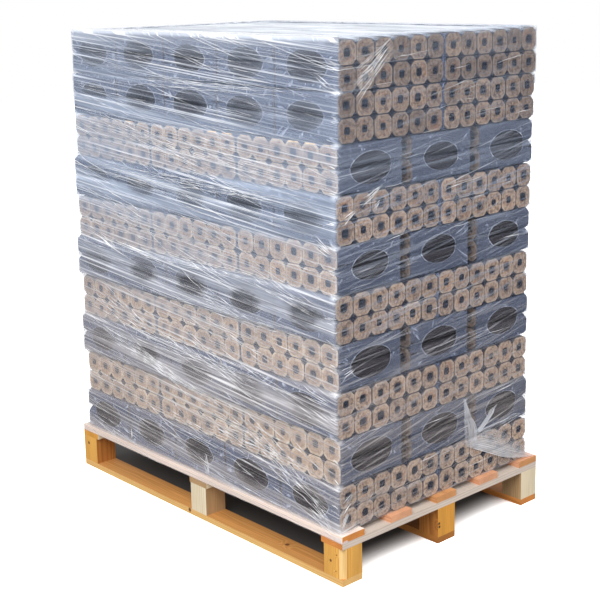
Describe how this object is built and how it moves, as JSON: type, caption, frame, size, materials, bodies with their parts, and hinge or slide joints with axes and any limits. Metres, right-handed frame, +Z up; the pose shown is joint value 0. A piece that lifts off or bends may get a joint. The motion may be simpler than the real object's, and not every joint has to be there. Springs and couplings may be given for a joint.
{
  "type": "shrink wrapped pallet load",
  "caption": "Pallet load of hollow pressed wood logs: film-sleeved packs in crossing layers on a light wooden pallet, under a top sheet and a stretched clear film.",
  "frame": {"origin": "on the floor under the middle of the pallet", "axes": "+Z up, +X along the pallet's long side, +Y along its short side; the load stands towards the corner at +X and -Y"},
  "size_m": [1.2, 0.8, 1.3889],
  "materials": {
    "deck_boards": "sawn softwood, pale",
    "stringers": "sawn softwood, greyed",
    "blocks": "sawn softwood, yellow",
    "bottom_boards": "sawn softwood, yellow",
    "pressed_logs": "pressed sawdust, ends tan and sides charred",
    "pack_sleeves": "clear shrink film",
    "top_sheet": "clear film sheet, wrinkled",
    "stretch_film": "clear stretch film, streaked"
  },
  "bodies": {
    "root": {"block_back_left": "blocks", "block_back_middle": "blocks", "block_back_right": "blocks", "block_front_left": "blocks", "block_front_middle": "blocks", "block_front_right": "blocks", "block_middle_left": "blocks", "block_middle_middle": "blocks", "block_middle_right": "blocks", "bottom_board_back": "bottom_boards", "bottom_board_front": "bottom_boards", "bottom_board_middle": "bottom_boards", "deck_board_1": "deck_boards", "deck_board_2": "deck_boards", "deck_board_3": "deck_boards", "deck_board_4": "deck_boards", "deck_board_5": "deck_boards", "logs_layer_01": "pressed_logs", "logs_layer_02": "pressed_logs", "logs_layer_03": "pressed_logs", "logs_layer_04": "pressed_logs", "logs_layer_05": "pressed_logs", "logs_layer_06": "pressed_logs", "logs_layer_07": "pressed_logs", "logs_layer_08": "pressed_logs", "logs_layer_09": "pressed_logs", "logs_layer_10": "pressed_logs", "sleeves_layer_01": "pack_sleeves", "sleeves_layer_02": "pack_sleeves", "sleeves_layer_03": "pack_sleeves", "sleeves_layer_04": "pack_sleeves", "sleeves_layer_05": "pack_sleeves", "sleeves_layer_06": "pack_sleeves", "sleeves_layer_07": "pack_sleeves", "sleeves_layer_08": "pack_sleeves", "sleeves_layer_09": "pack_sleeves", "sleeves_layer_10": "pack_sleeves", "stretch_film": "stretch_film", "stringer_board_1": "stringers", "stringer_board_2": "stringers", "stringer_board_3": "stringers", "top_sheet": "top_sheet"}
  },
  "joints": []
}
